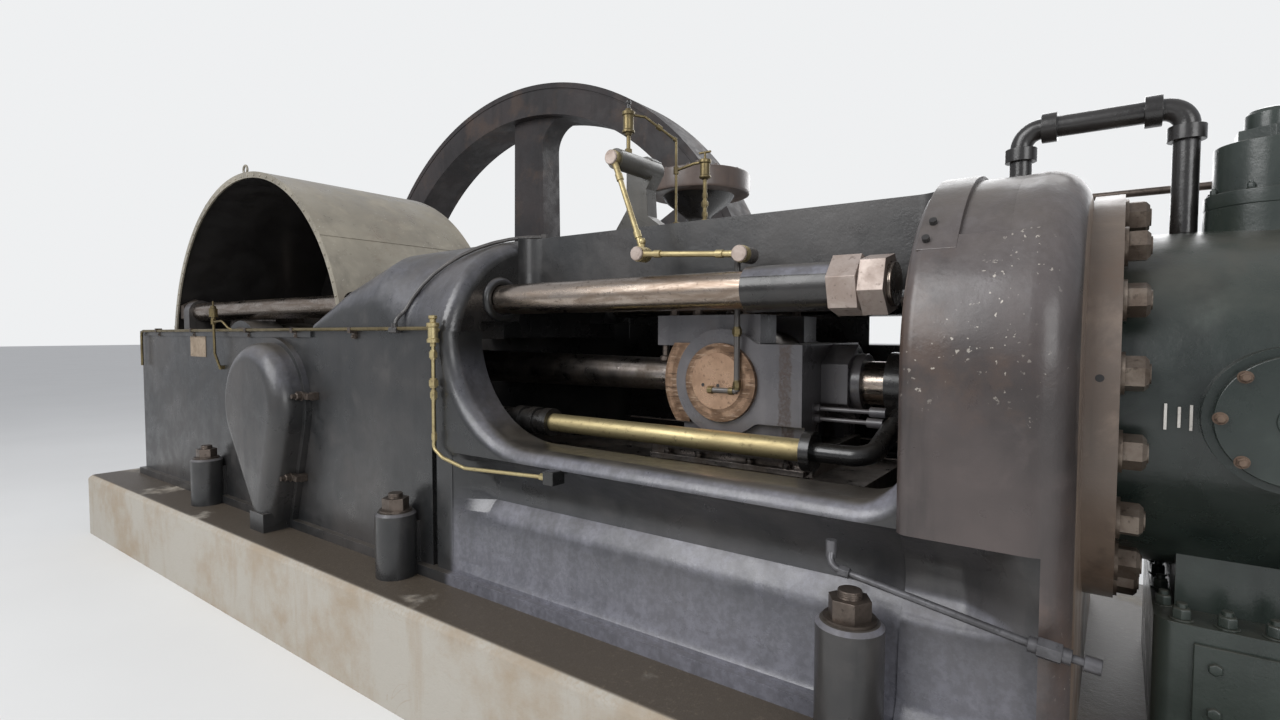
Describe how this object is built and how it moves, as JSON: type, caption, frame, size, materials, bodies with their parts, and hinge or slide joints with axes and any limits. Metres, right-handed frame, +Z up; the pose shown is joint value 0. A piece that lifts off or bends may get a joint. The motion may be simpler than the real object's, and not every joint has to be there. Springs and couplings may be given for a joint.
{
  "type": "stationary horizontal gas engine",
  "caption": "Large horizontal gas engine: cast bed, hooded crank, open crosshead guides, tie rods, jacketed cylinder and spoked flywheel over a concrete foundation with a wheel pit.",
  "frame": {"origin": "on the underside of the foundation, straight below the crank axis on the engine's centreline", "axes": "+X along the engine from the crank to the cylinder, +Y across to the flywheel, +Z up"},
  "size_m": [11.9292, 5.06, 5.7829],
  "materials": {
    "bed_paint": "dark oily paint over cast iron",
    "wheel_paint": "dull dark paint",
    "cylinder_paint": "dark green semi-gloss paint",
    "hood_sheet": "olive grey semi-gloss paint on sheet",
    "machined_iron": "oily machined steel",
    "bare_steel": "bare steel with light rust",
    "bronze": "machined bronze with an oil film",
    "brass": "worn brass",
    "concrete": "painted concrete with oil stains"
  },
  "bodies": {
    "engine": {"foundation_block": "concrete", "wheel_pit": "concrete", "outboard_pier": "concrete", "crank_bed": "bed_paint", "guide_casting": "bed_paint", "cylinder_adapter": "bed_paint", "crosshead_guide": "machined_iron", "bearing_shells": "brass", "bearing_caps": "bed_paint", "outboard_pedestal": "bed_paint", "outboard_cap": "bed_paint", "stuffing_box": "machined_iron", "cylinder": "cylinder_paint", "rear_head": "cylinder_paint", "tail_guard": "cylinder_paint", "tail_support": "bed_paint", "side_covers": "cylinder_paint", "inlet_bonnets": "cylinder_paint", "exhaust_chest_front": "cylinder_paint", "exhaust_chest_rear": "cylinder_paint", "hood": "hood_sheet", "tie_rods": "machined_iron", "tie_nuts": "bare_steel", "oiler_stand": "bed_paint", "governor": "bed_paint", "governor_stand": "bed_paint", "governor_rod": "machined_iron", "cooling_gland": "bed_paint", "water_pipe": "machined_iron", "crank_side_cover": "bed_paint", "anchor_nuts": "machined_iron"},
    "flywheel_and_shaft": {"crankshaft": "machined_iron", "near_crank": "machined_iron", "flywheel_rim": "wheel_paint", "flywheel_spider": "wheel_paint"},
    "running_gear": {"connecting_rod": "machined_iron", "crank_pin": "machined_iron", "crosshead": "bed_paint", "crosshead_pin": "bronze", "crosshead_slipper": "machined_iron", "piston_rod": "bare_steel", "piston": "machined_iron", "oiler_standpipe": "brass", "cooling_tube": "brass", "cooling_elbow": "bed_paint"},
    "oiler_upper": {"oiler_upper_link": "brass"},
    "oiler_lower": {"oiler_lower_link": "brass"}
  },
  "joints": [
    {"name": "flywheel_spin", "type": "hinge", "parent": "engine", "child": "flywheel_and_shaft", "pos_m": [0, 0, 3.04], "axis": [0, 1, 0], "continuous": true},
    {"name": "crosshead_slide", "type": "slide", "parent": "engine", "child": "running_gear", "axis": [1, 0, 0], "range_m": [-1.2192, 0]},
    {"name": "oiler_upper_swing", "type": "hinge", "parent": "engine", "child": "oiler_upper", "pos_m": [3.271, -0.407, 4.02], "axis": [0, 1, 0], "range_deg": [0, 115]},
    {"name": "oiler_lower_swing", "type": "hinge", "parent": "running_gear", "child": "oiler_lower", "pos_m": [3.927, -0.439, 3.548], "axis": [0, 1, 0], "range_deg": [0, 115]}
  ],
  "couplings": [
    {"joint": "oiler_upper_swing", "follows": "crosshead_slide", "rad_per_m": -1.6024},
    {"joint": "oiler_lower_swing", "follows": "crosshead_slide", "rad_per_m": -1.3899}
  ]
}
